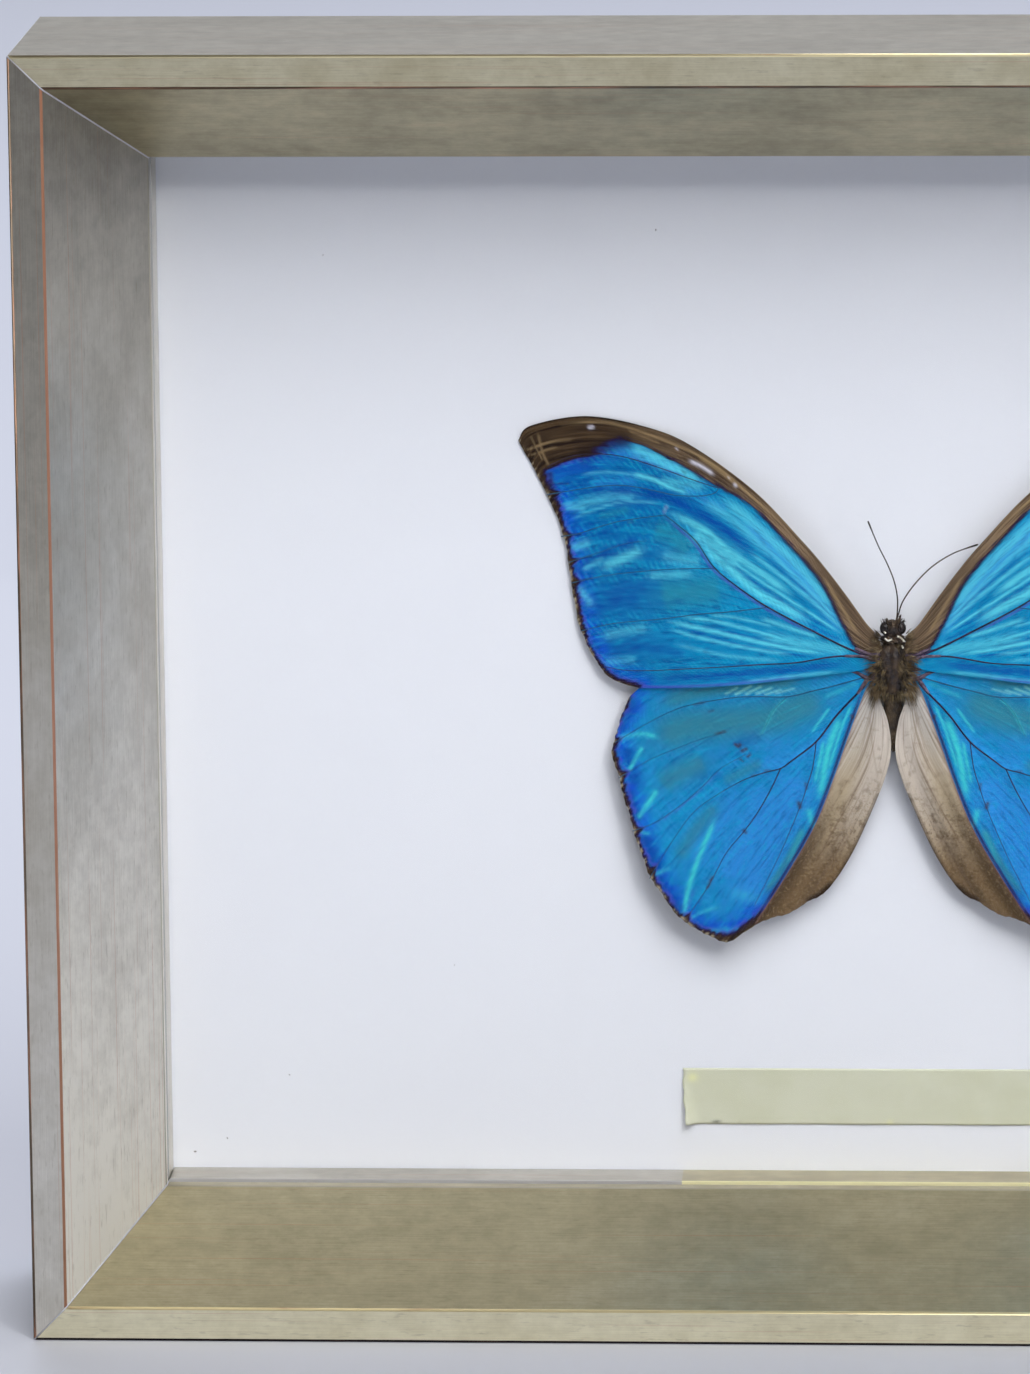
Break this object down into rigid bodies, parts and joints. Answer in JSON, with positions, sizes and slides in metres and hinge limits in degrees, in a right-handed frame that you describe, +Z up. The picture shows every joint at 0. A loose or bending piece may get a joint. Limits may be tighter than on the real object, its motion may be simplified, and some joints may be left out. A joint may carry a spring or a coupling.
{
  "type": "framed butterfly specimen",
  "caption": "Spread blue butterfly on a white board behind glass in a deep, sloping champagne-gilt shadow-box frame that stands on its bottom rail or hangs by a sawtooth hanger.",
  "frame": {"origin": "on the underside of the bottom rail, at the middle of the frame's footprint", "axes": "+X to the right along the frame as seen from the front, +Y from the front to the back, +Z up"},
  "size_m": [0.3, 0.052, 0.2265],
  "materials": {
    "gilt_moulding": "champagne metal leaf over red-brown clay on wood, brushed along its length and rubbed on the arrises, satin",
    "gilt_spacer": "champagne metal leaf, satin",
    "clear_glass": "clear float glass",
    "white_board": "matt cool white mount board with a few specks",
    "label_strip": "pale olive-cream strip, slightly glossy, bare",
    "hardboard": "brown hardboard, matt",
    "plated_steel": "zinc-plated steel sheet",
    "blue_wing": "iridescent sky blue scales with cyan streaks, dark brown margins and pale tan folds",
    "insect_body": "dark brown cuticle with golden-brown hair"
  },
  "bodies": {
    "root": {"frame_rail_top": "gilt_moulding", "frame_rail_bottom": "gilt_moulding", "frame_stile_left": "gilt_moulding", "frame_stile_right": "gilt_moulding", "spacer_top": "gilt_spacer", "spacer_bottom": "gilt_spacer", "spacer_left": "gilt_spacer", "spacer_right": "gilt_spacer", "glass_pane": "clear_glass", "mount_board": "white_board", "label_strip": "label_strip", "back_panel": "hardboard", "retaining_point_1": "plated_steel", "retaining_point_2": "plated_steel", "retaining_point_3": "plated_steel", "retaining_point_4": "plated_steel", "retaining_point_5": "plated_steel", "retaining_point_6": "plated_steel", "retaining_point_7": "plated_steel", "retaining_point_8": "plated_steel", "sawtooth_hanger": "plated_steel", "hanger_rivet_left": "plated_steel", "hanger_rivet_right": "plated_steel", "forewing_left": "blue_wing", "forewing_right": "blue_wing", "hindwing_left": "blue_wing", "hindwing_right": "blue_wing", "head": "insect_body", "thorax": "insect_body", "abdomen": "insect_body", "antenna_left": "insect_body", "antenna_right": "insect_body"}
  },
  "joints": []
}
